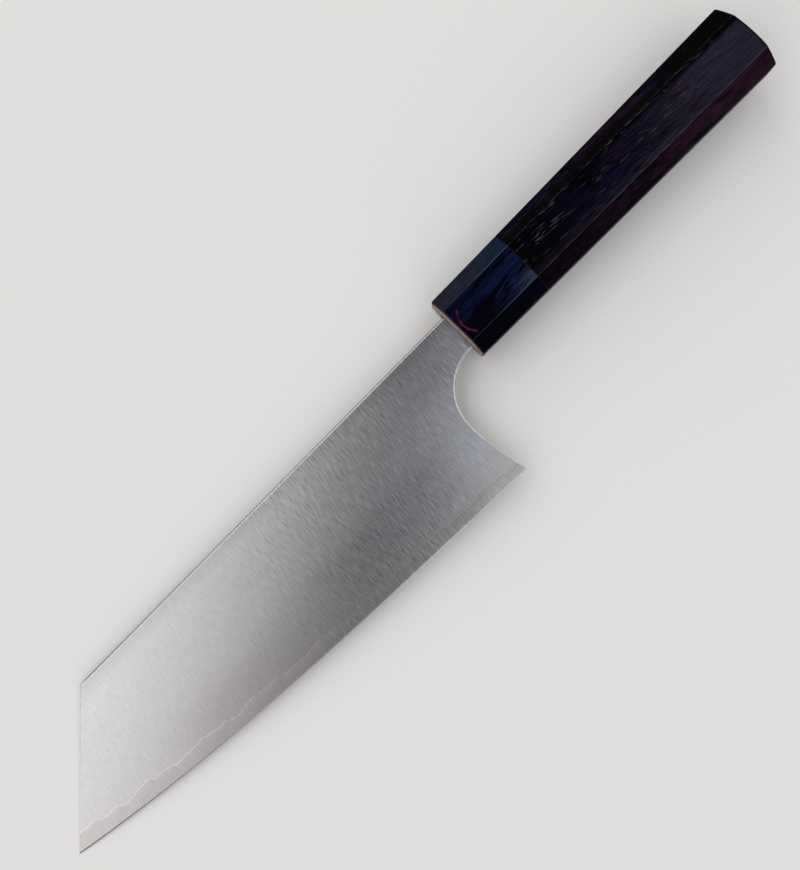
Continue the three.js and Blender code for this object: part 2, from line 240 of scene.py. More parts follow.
@labelled
class StageSettings(bpy.types.PropertyGroup):
    """How the knife lies, and where the camera stands."""

    place: lengths("Knife's origin above the floor", -35.4217, -16.4633, 9.7532)
    pitch: angle("Dip of the knife's axis to the tip, which touches down", 2.805927)
    look_at: lengths("Floor point in the picture's middle", -0.4864, -6.4423, 0)
    camera_distance: length("From the camera to the looked-at point", 402.2)
    camera_tilt: angle("Lean of the view off straight down", 3)
    camera_turn: angle("Turn of the picture's right side from +X", 134.76)
    focal_length: number("Lens in millimetres on a 36 mm long side", 52.76)
    floor_width: length("Width of the floor", 6000)


# Blade shape

def meeting(line_x, curve_y, low, high, halvings=50):
    """Where a line given by x of y crosses a curve given by y of x, between two heights."""
    for _ in range(halvings):
        middle = (low + high) / 2
        if curve_y(line_x(middle)) > middle:
            low = middle
        else:
            high = middle
    return Vector((line_x(middle), middle))


def curve(curve_y, start, end, step):
    """Points along a curve given by y of x, both ends included."""
    count = max(2, round(abs(end.x - start.x) / step))
    xs = [start.x + (end.x - start.x) * i / count for i in range(count + 1)]
    return [start] + [Vector((x, curve_y(x))) for x in xs[1:-1]] + [end]


def along(start, end, step):
    """Evenly spaced points from start up to, and without, the end."""
    count = max(1, round((end - start).length / step))
    return [start.lerp(end, i / count) for i in range(count)]


class Blade:
    """Outline and thickness of the blade, in the knife's frame."""

    arc_points = 40
    low_choil_points = 24
    # Shares of the way from heel to tip between which notches and teeth grow to full depth
    notches_start, notches_full = 0.45, 0.75
    notch_power, notch_middle, tooth_middle = 1.5, 0.4, 0.5
    unevenness = 0.15  # sway of waves, notches and teeth, as a share of a short wave

    def __init__(self, sizes):
        self.s = sizes
        self.spine_y = -sizes.spine_above_axis
        self.neck_y = self.spine_y + sizes.neck_depth
        self.heel = Vector((sizes.heel_ahead, self.spine_y + sizes.heel_depth))
        self.tip = Vector((sizes.tip_ahead, self.spine_y + sizes.tip_depth))
        self.corner = Vector((sizes.tip_corner_ahead, self.spine_y))
        self.choil_centre = Vector((sizes.choil_start, self.neck_y + sizes.choil_radius))

    def edge_y(self, x):
        """Line of the cutting edge."""
        span = self.tip.x - self.heel.x
        t = (x - self.heel.x) / span
        from_heel = self.heel.y * (1 - t) ** 2 * (1 + 2 * t)
        from_heel -= math.tan(self.s.edge_slope_at_heel) * span * t * (1 - t) ** 2
        from_tip = self.tip.y * t ** 2 * (3 - 2 * t)
        from_tip += math.tan(self.s.edge_slope_at_tip) * span * t ** 2 * (1 - t)
        return from_heel + from_tip

    def shoulder_y(self, x):
        """Top of the edge bevel."""
        return self.edge_y(max(x, 0)) - self.s.bevel_height

    def bevel_y(self, x):
        """Middle of the edge bevel."""
        return (self.shoulder_y(x) + self.edge_y(x)) / 2

    def spine_half(self, x):
        """Half thickness of the spine."""
        t = max(x, 0) / self.corner.x
        return (self.s.spine_at_neck + (self.s.spine_at_corner - self.s.spine_at_neck) * t) / 2

    def face_half(self, x, y):
        """Half thickness: convex down to the edge bevel, then straight to the edge."""
        shoulder = self.shoulder_y(x)
        if y > shoulder:
            down = min(1, (y - shoulder) / self.s.bevel_height)
            return self.s.behind_edge / 2 * (1 - down)
        above = (shoulder - y) / (shoulder - self.spine_y)
        rise = 1 - max(0, 1 - above) ** self.s.grind_roundness
        return self.s.behind_edge / 2 + (self.spine_half(x) - self.s.behind_edge / 2) * rise

    def limit_y(self, x):
        """Wavy, notched line where the cladding ends above the edge."""
        s = self.s
        x = max(x, 0)
        t = (x - self.heel.x) / (self.tip.x - self.heel.x)
        shows = s.core_at_heel + (s.core_at_tip - s.core_at_heel) * t
        wave = math.sin(math.tau * x / s.long_wave_pitch)
        uneven = x + self.unevenness * s.short_wave_pitch * wave
        shows += s.long_wave * wave
        shows += s.short_wave * (2 * abs(math.sin(math.pi * uneven / s.short_wave_pitch)) - 1)
        grown = (t - self.notches_start) / (self.notches_full - self.notches_start)
        grown = min(1, max(0, grown))
        notch = (1 - uneven / s.notch_pitch % 1) ** self.notch_power
        shows += s.notch * grown * (notch - self.notch_middle)
        shows += s.tooth * grown * (self.tooth_middle - uneven / s.tooth_pitch % 1)
        return self.edge_y(x) - shows

    def pale_y(self, x):
        """Lower border of the pale line along the lamination."""
        return self.limit_y(x) + self.s.pale_line

    def core_half(self, x):
        """Half thickness of the core between the claddings."""
        x = max(x, 0)
        return self.face_half(x, self.limit_y(x)) - self.s.weld_line

    def choil_x(self, y):
        """Long lower curve of the choil, at a height."""
        deepest = self.choil_point(0)
        t = (y - deepest.y) / (self.heel.y - deepest.y)
        return deepest.x + (self.heel.x - deepest.x) * t ** 2

    def choil_point(self, turn):
        """Point on the choil's arc."""
        return self.choil_centre + self.s.choil_radius * Vector((math.cos(turn), math.sin(turn)))

    def tip_cut_x(self, y):
        """The angled cut from the spine's front corner to the tip, at a height."""
        t = (y - self.corner.y) / (self.tip.y - self.corner.y)
        return self.corner.x + (self.tip.x - self.corner.x) * t

    def lengthwise(self, curve_y, step):
        """Points along a curve given by y of x, from the tip cut to the choil."""
        front = meeting(self.tip_cut_x, curve_y, self.corner.y, self.tip.y)
        back = meeting(self.choil_x, curve_y, self.choil_centre.y, self.heel.y)
        return curve(curve_y, front, back, step)

    def outline(self, lower_curve):
        """Outline of a layer above a lower curve, with the round on each point's edge.

        It runs from the tang along the spine, tip cut, lower curve, choil and neck.
        """
        s = self.s
        step = s.mesh_step
        ends = (-s.neck_inset, s.tang_front / 2), (-s.tang_reach, s.tang_end / 2)
        tang_low = [Vector(end) for end in ends]
        tang_top = [Vector((x, -y)) for x, y in reversed(ends)]
        neck_top = Vector((-s.neck_inset + s.neck_step, self.spine_y))
        neck_low = Vector((neck_top.x, self.neck_y))
        turns = np.linspace(0, -math.pi / 2, self.arc_points)
        heights = np.linspace(lower_curve[-1].y, self.choil_centre.y, self.low_choil_points)
        low_choil = [Vector((self.choil_x(y), y)) for y in heights[:-1]]
        choil = [self.choil_point(turn) for turn in turns]
        tip_cut = along(self.corner, lower_curve[0], step / 2)
        runs = [
            (along(*tang_top, 2 * step), (0,)),
            (along(neck_top, self.corner, step), (s.spine_round,)),
            (tip_cut, (s.tip_cut_round, s.tip_cut_round, s.thin_round)),
            (lower_curve[:-1], (0,)),
            (low_choil, (s.thin_round, 2 * s.thin_round, s.low_choil_round)),
            (choil, (s.low_choil_round, s.choil_round, s.choil_round, s.neck_round)),
            (along(Vector((0, self.neck_y)), neck_low, step) + [neck_low], (s.neck_round,)),
            (along(*tang_low, 2 * step), (0,)),
            (along(tang_low[1], tang_top[0], step), (0,)),
        ]
        outline = []
        for points, rounds in runs:
            places = np.linspace(0, 1, len(points))
            widths = np.interp(places, np.linspace(0, 1, len(rounds)), rounds)
            outline += [(point.x, point.y, float(width)) for point, width in zip(points, widths)]
        return outline


# Mesh tools

def rim_rings(outline, thickness, steps=5):
    """Points of a rounded rim inside an outline, and a line just past it.

    Each point is (x, y, drop below the face, polish).
    """
    deepest_share = 0.7
    past_round = 0.1 * MM
    flat = np.array([point[:2] for point in outline])
    before, after = np.roll(flat, 1, 0), np.roll(flat, -1, 0)
    area = np.sum(before[:, 0] * flat[:, 1] - flat[:, 0] * before[:, 1])
    tangent = after - before
    tangent /= np.linalg.norm(tangent, axis=1, keepdims=True)
    inward = np.stack([-tangent[:, 1], tangent[:, 0]], 1) * np.sign(area)
    rings = [[] for _ in range(steps + 2)]
    for (x, y, width), normal in zip(outline, inward):
        if width < LEAST_ROUND:
            rings[0].append((x, y, 0.0, 0.0))
            continue
        depth = min(width, deepest_share * thickness(x, y))
        profile = []
        for step in range(steps + 1):
            turn = math.pi / 2 * step / steps
            inset, drop = width * (1 - math.cos(turn)), depth * (1 - math.sin(turn))
            profile.append((inset, drop, 1 - step / steps))
        profile.append((width + past_round, 0.0, 0.0))
        for ring, (inset, *rest) in zip(rings, profile):
            ring.append((x + normal[0] * inset, y + normal[1] * inset, *rest))
    return rings


def distances_to(points, outline):
    """Least distance of each point to a closed outline, and whether the point is inside it."""
    tiny = 1e-18
    start = np.array([p[:2] for p in outline])
    span = np.roll(start, -1, 0) - start
    apart = points[:, None, :] - start[None]
    t = np.clip((apart * span).sum(2) / np.maximum((span ** 2).sum(1), tiny), 0, 1)
    least = np.linalg.norm(apart - t[..., None] * span, axis=2).min(1)
    end = start + span
    crosses = (start[:, 1] > points[:, None, 1]) != (end[:, 1] > points[:, None, 1])
    rise = np.where(span[:, 1] == 0, tiny, span[:, 1])
    at = start[:, 0] + (points[:, None, 1] - start[:, 1]) * span[:, 0] / rise
    inside = (crosses & (points[:, None, 0] < at)).sum(1) % 2 == 1
    return least, inside


def face_grid(outline, taken, step):
    """Grid points inside an outline, clear of its rim and of the points already taken."""
    shift, from_rim, from_taken = (0.31, 0.37), 0.55, 0.5
    low, high = taken.min(0), taken.max(0)
    axes = [np.arange(low[axis], high[axis], step) for axis in (0, 1)]
    grid = np.stack(np.meshgrid(*axes), -1).reshape(-1, 2) + np.array(shift) * step
    least, inside = distances_to(grid, outline)
    grid = grid[inside & (least > from_rim * step)]
    near = np.array([np.linalg.norm(taken - point, axis=1).min() for point in grid])
    return grid[near > from_taken * step]


def plate_mesh(name, outline, extra_lines, upper, lower, step, side):
    """Closed mesh over an outline, with a rounded rim on its upper face.

    extra_lines holds (points, crease, mark): lines that the mesh follows, sharp where crease is
    set, with a value for the line mask. side is -1 to mirror the plate to the right face.
    """
    rings = rim_rings(outline, lambda x, y: upper(x, y) - lower(x, y))
    data = [(*point, 0.0, 0) for ring in rings for point in ring]
    count = len(rings[0])
    edges = [(i, (i + 1) % count) for i in range(count)]
    for index, (points, crease, mark) in enumerate(extra_lines, 1):
        first = len(data)
        data += [(p.x, p.y, 0.0, 0.0, mark, index if crease else 0) for p in points]
        edges += [(first + i, first + i + 1) for i in range(len(points) - 1)]
    taken = np.array([row[:2] for row in data])
    data += [(x, y, 0.0, 0.0, 0.0, 0) for x, y in face_grid(outline, taken, step)]
    spots = [Vector((row[0] / MM, row[1] / MM)) for row in data]
    inside_only, closest = 1, 1e-4
    found, _, faces, sources, *_ = delaunay_2d_cdt(spots, edges, [], inside_only, closest)

    bm = bmesh.new()
    polish, line = (bm.verts.layers.float.new(name) for name in ("polish", "line"))
    crease = bm.verts.layers.int.new("crease")
    tops, lows, thick = [], [], []
    for place, source in zip(found, sources):
        x, y = place.x * MM, place.y * MM
        drop, *masks = data[source[0]][2:] if source else (0.0, 0.0, 0.0, 0)
        top = bm.verts.new((x, y, side * (upper(x, y) - drop)))
        low = bm.verts.new((x, y, side * lower(x, y)))
        for vert in (top, low):
            vert[polish], vert[line], vert[crease] = masks
        tops.append(top)
        lows.append(low)
        thick.append((top.co - low.co).length > SAME_POINT)
    sides = []
    for face in faces:
        if any(thick[i] for i in face):
            bm.faces.new([tops[i] for i in face])
            bm.faces.new([lows[i] for i in reversed(face)])
            sides += zip(face, face[1:] + face[:1])
    inner = set(sides)
    for a, b in sides:
        if (b, a) not in inner:
            bm.faces.new([tops[b], tops[a], lows[a], lows[b]])
    bmesh.ops.remove_doubles(bm, verts=bm.verts, dist=SAME_POINT)
    bmesh.ops.dissolve_degenerate(bm, edges=bm.edges, dist=1e-8)
    return finished_mesh(name, bm, lambda a, b: a[crease] and a[crease] == b[crease])


def skin_mesh(name, rings, closed, wear_of):
    """Closed mesh over rings with equal counts of points.

    It is a tube closed on itself, or one capped at both ends. wear_of gives the polish mask's
    value at a place in the ring.
    """
    bm = bmesh.new()
    polish = bm.verts.layers.float.new("polish")
    count = len(rings[0])
    rows = []
    for ring in rings:
        rows.append([bm.verts.new(point) for point in ring])
        for index, vert in enumerate(rows[-1]):
            vert[polish] = wear_of(index)
    pairs = list(zip(rows, rows[1:])) + ([(rows[-1], rows[0])] if closed else [])
    for row, following in pairs:
        for i in range(count):
            j = (i + 1) % count
            bm.faces.new([row[i], row[j], following[j], following[i]])
    for row in [] if closed else (rows[0], rows[-1]):
        hub = bm.verts.new(sum((vert.co for vert in row), Vector()) / count)
        for i in range(count):
            bm.faces.new([row[i], row[(i + 1) % count], hub])
    return finished_mesh(name, bm, lambda a, b: False)


def finished_mesh(name, bm, creased):
    """Mesh shaded smooth, apart from creased edges and those that turn sharply."""
    bmesh.ops.recalc_face_normals(bm, faces=bm.faces)
    for face in bm.faces:
        face.smooth = True
    for edge in bm.edges:
        edge.smooth = not (creased(*edge.verts) or edge.calc_face_angle(0) > SHARP_TURN)
    return mesh_of(name, bm)


def mesh_of(name, bm):
    """Mesh data of an edit mesh, which is freed."""
    mesh = bpy.data.meshes.new(name)
    bm.to_mesh(mesh)
    bm.free()
    return mesh


# Handle shape

class Handle:
    """Octagon of the handle, with rounded edges between its flats."""

    corner_steps = 4
    flat_steps = 6
    per_corner = corner_steps + flat_steps
    body_stations = 12
    butt_start = 0.95  # share of the handle's length where the butt's rings start
    rim_steps = 6
    dome_shares = (0.93, 0.8, 0.6, 0.4, 0.2, 0.05)  # rings on the dome, as shares of its rim
    chamfer_ease = 0.12  # round on the edges of the ferrule's chamfer, as a share of it

    def __init__(self, sizes):
        self.s = sizes
        self.ferrule_back = -sizes.ferrule_length
        self.body_front = self.ferrule_back - sizes.seam_thickness - 2 * sizes.touch_gap
        self.dowel_front = self.ferrule_back + sizes.dowel_in_ferrule
        self.dowel_back = self.body_front - sizes.dowel_in_body

    def corners(self, x, inset):
        """The eight corners at a place on the axis, drawn in by an inset all round."""
        s = self.s
        t = -x / s.handle_reach
        pairs = s.height, s.thickness, s.side_flat, s.ridge_flat
        height, thickness, side, ridge = ((a + (b - a) * t) / 2 for a, b in pairs)
        quarter = [(height, ridge), (side, thickness)]
        half = quarter + [(-y, z) for y, z in reversed(quarter)]
        whole = half + [(y, -z) for y, z in reversed(half)]
        scale = Vector((1 - inset / height, 1 - inset / thickness))
        return [Vector((y * scale.x, z * scale.y)) for y, z in whole]

    def ring(self, x, inset=0.0):
        """Octagon with rounded corners as points in space."""
        corners = self.corners(x, inset)
        points = []
        for corner, previous, following in zip(
            corners, corners[-1:] + corners[:-1], corners[1:] + corners[:1]
        ):
            before = (previous - corner).normalized()
            after = (following - corner).normalized()
            opening = before.angle(after)
            reach = self.s.facet_round / math.tan(opening / 2)
            bisector = (before + after).normalized()
            centre = corner + bisector * self.s.facet_round / math.sin(opening / 2)
            start, end = corner + before * reach - centre, corner + after * reach - centre
            for step in range(self.corner_steps + 1):
                spoke = start.lerp(end, step / self.corner_steps).normalized()
                points.append(centre + spoke * self.s.facet_round)
            last, flat_end = points[-1], following - after * reach
            shares = [step / self.flat_steps for step in range(1, self.flat_steps)]
            points += [last.lerp(flat_end, share) for share in shares]
        return [Vector((x, point.x, point.y)) for point in points]

    def dome_x(self, y, z):
        """Where along the handle the domed butt has a point at a given place across."""
        radius = self.s.butt_dome_radius
        off_centre = math.hypot(y - self.s.butt_dome_towards_edge, z)
        return -self.s.handle_reach + radius - math.sqrt(radius ** 2 - off_centre ** 2)

    def butt_ring(self, inset, ahead):
        """Ring round the butt: each point of the octagon at the dome, or a little ahead of it."""
        points = []
        for index, point in enumerate(self.ring(-self.s.handle_reach, inset)):
            x = self.dome_x(point.y, point.z) + ahead
            points.append(self.ring(x, inset)[index])
        return points

    def round_rings(self, diameter, *places):
        """Circles with a point at the angle of each point of the octagon's ring."""
        rings = []
        for x in places:
            turns = [math.atan2(p.z, p.y) for p in self.ring(x)]
            spokes = [(math.cos(turn), math.sin(turn)) for turn in turns]
            rings.append([Vector((x, diameter / 2 * y, diameter / 2 * z)) for y, z in spokes])
        return rings

    def mouth_ring(self, x):
        """Rectangle of the mouth with as many points as the octagon's ring."""
        s = self.s
        half = s.mouth_width / 2
        low, high = -s.mouth_low, s.mouth_high
        spots = [Vector(yz) for yz in ((high, half), (low, half), (low, -half), (high, -half))]
        nearest = (0, 3, 4, 7)  # the octagon's corners nearest to the mouth's
        places = [corner * self.per_corner + self.corner_steps // 2 for corner in nearest]
        total = 8 * self.per_corner
        points = [None] * total
        for k in range(4):
            first, last = places[k], places[(k + 1) % 4]
            span = (last - first) % total
            for i in range(span):
                place = spots[k].lerp(spots[(k + 1) % 4], i / span)
                points[(first + i) % total] = Vector((x, place.x, place.y))
        return points

    def edge_wear(self, index):
        """1 on the rounded edges between the flats, 0 on the flats."""
        return 1.0 if 0 < index % self.per_corner < self.corner_steps else 0.0


# Node tools

class Value:
    """What a node gives out. Signs and steps on it add the nodes that work them out."""

    def __init__(self, sheet, socket):
        self.sheet = sheet
        self.socket = socket

    def __add__(self, other):
        return self.sheet.math("ADD", self, other)

    def __sub__(self, other):
        return self.sheet.math("SUBTRACT", self, other)

    def __rsub__(self, other):
        return self.sheet.math("SUBTRACT", other, self)

    def __mul__(self, other):
        return self.sheet.math("MULTIPLY", self, other)

    def __pow__(self, other):
        return self.sheet.math("POWER", self, other)

    def __abs__(self):
        return self.sheet.math("ABSOLUTE", self)

    def at_least(self, other):
        """The greater of this and another."""
        return self.sheet.math("MAXIMUM", self, other)

    def step(self, low, high, start=0.0, end=1.0, kind="SMOOTHSTEP"):
        """A smooth change from start to end while this goes from low to high."""
        inputs = dict(enumerate((self, low, high, start, end)))
        return self.sheet.value("ShaderNodeMapRange", inputs, interpolation_type=kind)


class Sheet:
    """The node tree of a material or world, with short ways to add nodes."""

    def __init__(self, owner, shader, output, place):
        self.owner = owner
        owner.use_nodes = True
        self.tree = owner.node_tree
        self.tree.nodes.clear()
        self.shader = self.add(shader, {})
        self.add(output, {"Surface": Value(self, self.shader.outputs[0])})
        self.place = self.value("ShaderNodeTexCoord", {}, place)

    def add(self, kind, inputs, **choices):
        """Adds a node with its choices, and links or sets its inputs, by name or number."""
        node = self.tree.nodes.new(kind)
        for name, choice in choices.items():
            setattr(node, name, choice)
        for key, entry in inputs.items():
            self.put(node.inputs[key], entry)
        return node

    def put(self, socket, entry):
        """Links a value to a socket, or sets the socket to a constant."""
        if isinstance(entry, Value):
            self.tree.links.new(entry.socket, socket)
        else:
            socket.default_value = (*entry, 1) if socket.type == "RGBA" else entry

    def value(self, kind, inputs, output=0, **choices):
        """Adds a node and gives one of its outputs."""
        return Value(self, self.add(kind, inputs, **choices).outputs[output])

    def math(self, operation, *entries):
        """A sum, product or other function of values and constants."""
        return self.value("ShaderNodeMath", dict(enumerate(entries)), operation=operation)

    def axes(self):
        """The place's x, y and z in millimetres."""
        node = self.add("ShaderNodeSeparateXYZ", {0: self.scaled(self.place, 1 / MM)})
        return [Value(self, socket) for socket in node.outputs]

    def facing(self, direction):
        """How far the place lies along a direction."""
        inputs = {0: self.place, 1: direction}
        return self.value("ShaderNodeVectorMath", inputs, "Value", operation="DOT_PRODUCT")

    def noise(self, scale, turn=0.0, shift=(0, 0, 0), detail=3, roughness=0.55, distortion=0.0):
        """Noise over the place, which is turned about Z, then scaled and shifted."""
        turned = {"Vector": self.place, "Angle": turn}
        turned = self.value("ShaderNodeVectorRotate", turned, rotation_type="Z_AXIS")
        scale = scale if isinstance(scale, tuple) else (scale, scale, scale)
        mapped = {"Vector": turned, "Scale": scale, "Location": shift}
        mapped = self.value("ShaderNodeMapping", mapped)
        inputs = {
            "Vector": mapped, "Scale": 1.0, "Detail": detail, "Roughness": roughness,
            "Distortion": distortion,
        }
        return self.value("ShaderNodeTexNoise", inputs, "Fac")

    def mix(self, share, first, second):
        """Colour between two, by a share."""
        node = self.add("ShaderNodeMix", {0: share}, data_type="RGBA")
        sockets = [socket for socket in node.inputs if socket.type == "RGBA"]
        self.put(sockets[0], first)
        self.put(sockets[1], second)
        return Value(self, next(socket for socket in node.outputs if socket.type == "RGBA"))

    def coats(self, base, *layers):
        """Base colour under layers of share and colour, the last on top."""
        for share, colour in layers:
            base = self.mix(share, base, colour)
        return base

    def scaled(self, vector, share):
        """Place or colour times a share."""
        return self.value("ShaderNodeVectorMath", {0: vector, "Scale": share}, operation="SCALE")

    def mask(self, name):
        """A value that the mesh holds on its points."""
        return self.value("ShaderNodeAttribute", {}, "Fac", attribute_name=name)

    def bump(self, height, strength, distance):
        """Surface normal over a height."""
        inputs = {"Height": height, "Strength": strength, "Distance": distance}
        return self.value("ShaderNodeBump", inputs)

    def set(self, **entries):
        """Sets the shader's inputs, named with underscores for spaces."""
        for name, entry in entries.items():
            self.put(self.shader.inputs[name.replace("_", " ")], entry)


def material_sheet(name):
    """Sheet of a new material, over the knife's own frame."""
    material = bpy.data.materials.new(name)
    return Sheet(material, "ShaderNodeBsdfPrincipled", "ShaderNodeOutputMaterial", "Object")


def darker(colour, share):
    """A constant colour times a share."""
    return [share * part for part in colour]


# Finishes

def ground_steel(name, tints, lean, line_gain):
    """Satin steel with fine grinding lines, polished rims and a pale lamination line, with painted
    shade, a painted shadow line and painted highlights.

    tints are the colours near the tip, near the heel, near the edge and at the edge's front part.
    """
    tip_colour, heel_colour, edge_colour, front_colour = tints
    sheet = material_sheet(name)
    x, y, _ = sheet.axes()
    polish, line = sheet.mask("polish"), sheet.mask("line")

    # Strokes from spine to edge: narrow along the blade, long across it
    short_strokes = sheet.noise((6800, 330, 1), lean, detail=0)
    strokes = sheet.noise((5600, 200, 1), lean, (3.1, 0.4, 0), detail=0)
    long_lines = sheet.noise((3800, 90, 1), lean, detail=1)
    cuts = sheet.noise((5000, 230, 1), lean, (7.7, 1.3, 0), detail=0)
    cuts = cuts.step(0.60, 0.74) - cuts.step(0.40, 0.26)
    lines = short_strokes * 0.45 + strokes * 0.4 + long_lines * 0.15 + cuts * 0.1
    calm = x.step(44, 30) * y.step(14, 26, 0.0, 0.45)
    depth = x.step(118, 60, 0.42, 1.6) * (1 - calm) * (1 - polish)
    mottle = sheet.noise(420)
    shade = (lines - 0.5) * depth + (mottle - 0.5) * 0.05 + 1

    # Painted shade and light over the face, standing in for how the reflected light falls: darker
    # near the spine, in a band ahead of the heel, towards the front and at the neck, lighter at the
    # heel
    shade = shade * y.step(-5.5, 0.5, 0.88, 1.03)
    # painted shade in a band ahead of the heel, and towards the front
    painted_shade_band = y.step(16, 26) * y.step(40, 32, 0.4, 1.0)
    painted_shade_band = painted_shade_band * x.step(22, 43) * x.step(110, 72, 0.0, 0.19)
    front_painted_shade = y.step(19, 31) * x.step(80, 108, 0.0, 0.09)
    front_painted_shade = front_painted_shade * x.step(160, 128, 0.25, 1.0)
    # painted shade at the neck and painted light at the heel
    neck_painted_shade = x.step(36, 18) * y.step(12, 4, 0.0, 0.12)
    heel_painted_light = x.step(36, 22) * y.step(6, 18, 0.0, 0.07)
    shade = (shade - painted_shade_band - front_painted_shade - neck_painted_shade + heel_painted_light).at_least(0.25)

    # Pale lamination line; painted shade on the spine's outer edge, a painted shadow line along the
    # edge bevel and a painted highlight on the choil rim
    shade = shade + line.at_least(0.0) * x.step(112, 155, 0.0, line_gain)
    # painted shade on the outer edge of the spine
    spine_painted_shade = y.step(-5, -5.3) * polish.step(0.25, 0.45, 0.0, 0.65)
    # painted shadow line along the edge bevel, in its front half
    bevel_painted_shadow = line.step(0.0, -0.7) * x.step(52, 85, 0.0, 0.55)
    # painted highlight on the polished choil rim
    choil_painted_highlight = y.step(4, 10) * x.step(50, 40) * polish.step(0.15, 0.5, 0.0, 0.5)
    shade = shade * (1 - spine_painted_shade - bevel_painted_shadow) + choil_painted_highlight

    near_edge = y.step(30, 40) * x.step(125, 95)
    at_front = y.step(14, 34, 0.0, 0.8) * x.step(88, 112) * x.step(168, 132)
    colour = sheet.coats(
        heel_colour, (x.step(75, 135), tip_colour), (near_edge, edge_colour),
        (at_front, front_colour),
    )
    sheet.set(
        Base_Color=sheet.scaled(colour, shade), Metallic=1.0, Roughness=polish * -0.06 + 0.18,
        Normal=sheet.bump(lines, 0.2, 0.02 * MM),
    )
    return sheet.owner


def facet_masks(x, y, handle):
    """Shares of the facets on the edge side and on the spine side of the two side flats."""
    front, butt = handle.side_flat
    flat_half = x * ((front - butt) / 2 / handle.handle_reach) + front / 2 / MM
    return (y - flat_half).step(-0.1, 0.2), (y + flat_half).step(0.1, -0.2)


def ferrule_wood(finish, handle):
    """Navy-stained wood with blue streaks along the grain, one red layer, a bare front, and painted
    sheen on its spine side and facet edges.
    """
    lean = -0.1
    arc_x, arc_y, arc_radius = -7.7, 0.7, 6.4
    sheet = material_sheet("navy_stained_wood")
    x, y, z = sheet.axes()
    edge_side, spine_side = facet_masks(x, y, handle)
    streaks = sheet.noise((170, 5200, 5200), lean, detail=4, roughness=0.7, distortion=0.25)
    bands = sheet.noise((62, 640, 640), lean, detail=2, distortion=1.0)
    blue = streaks.step(0.38, 0.60) * bands.step(0.40, 0.54) * x.step(-2, -26, 0.6, 1.1)
    corner = y.step(0.5, 3.5) * x.step(-18, -10, 0.0, 0.85)
    blue = blue * (1 - corner) * (1 - edge_side * 0.85)
    pale = x.step(-18, -27) * y.step(1, 5.5, 0.0, 0.35) * (1 - edge_side)
    pale = pale * streaks.step(0.35, 0.60)
    # Painted sheen on the spine-side facet, grey at the front and blue towards the seam, over the
    # navy stain
    spine_painted_sheen = sheet.mix(x.step(-6, -26), finish.spine_sheen_grey, finish.spine_sheen_blue)
    spine_painted_sheen = sheet.mix(streaks.step(0.34, 0.58, 0.15, 1.0), finish.navy, spine_painted_sheen)

    # Red layer, cut to an arc on the left side flat
    patches = sheet.noise(1100, detail=2)
    away = ((x - arc_x) ** 2 + (y - arc_y) ** 2) ** 0.5
    arc = abs(patches * 0.8 + away - arc_radius).step(0.45, 0.2)
    arc = arc * patches.step(0.33, 0.50) * streaks.step(0.36, 0.52, 0.4, 1.0)
    arc = arc * x.step(-4.2, -3) * z.step(6, 8, 0.0, 0.95)

    # Worn facet edges with painted highlights, and bare front
    wear_and_highlight = sheet.mask("polish") * x.step(-10, -20, 0.25, 0.9)
    grain = sheet.noise(600).step(0.35, 0.65)
    bare = sheet.mix(grain, darker(finish.bare_front, 0.7), finish.bare_front)
    front = sheet.mix(x.step(-0.2, -0.08), finish.rim_brown, bare)
    tone = sheet.coats(
        finish.navy, (blue, finish.streak_blue), (pale, finish.pale_blue_and_highlight), (spine_side, spine_painted_sheen),
        (arc, finish.figure_red), (wear_and_highlight, finish.pale_blue_and_highlight), (x.step(-0.62, -0.5), front),
    )
    sheet.set(
        Base_Color=tone, Roughness=streaks * 0.12 + 0.30, Specular_IOR_Level=0.01,
        Normal=sheet.bump(streaks, 0.15, 0.06 * MM),
    )
    return sheet.owner


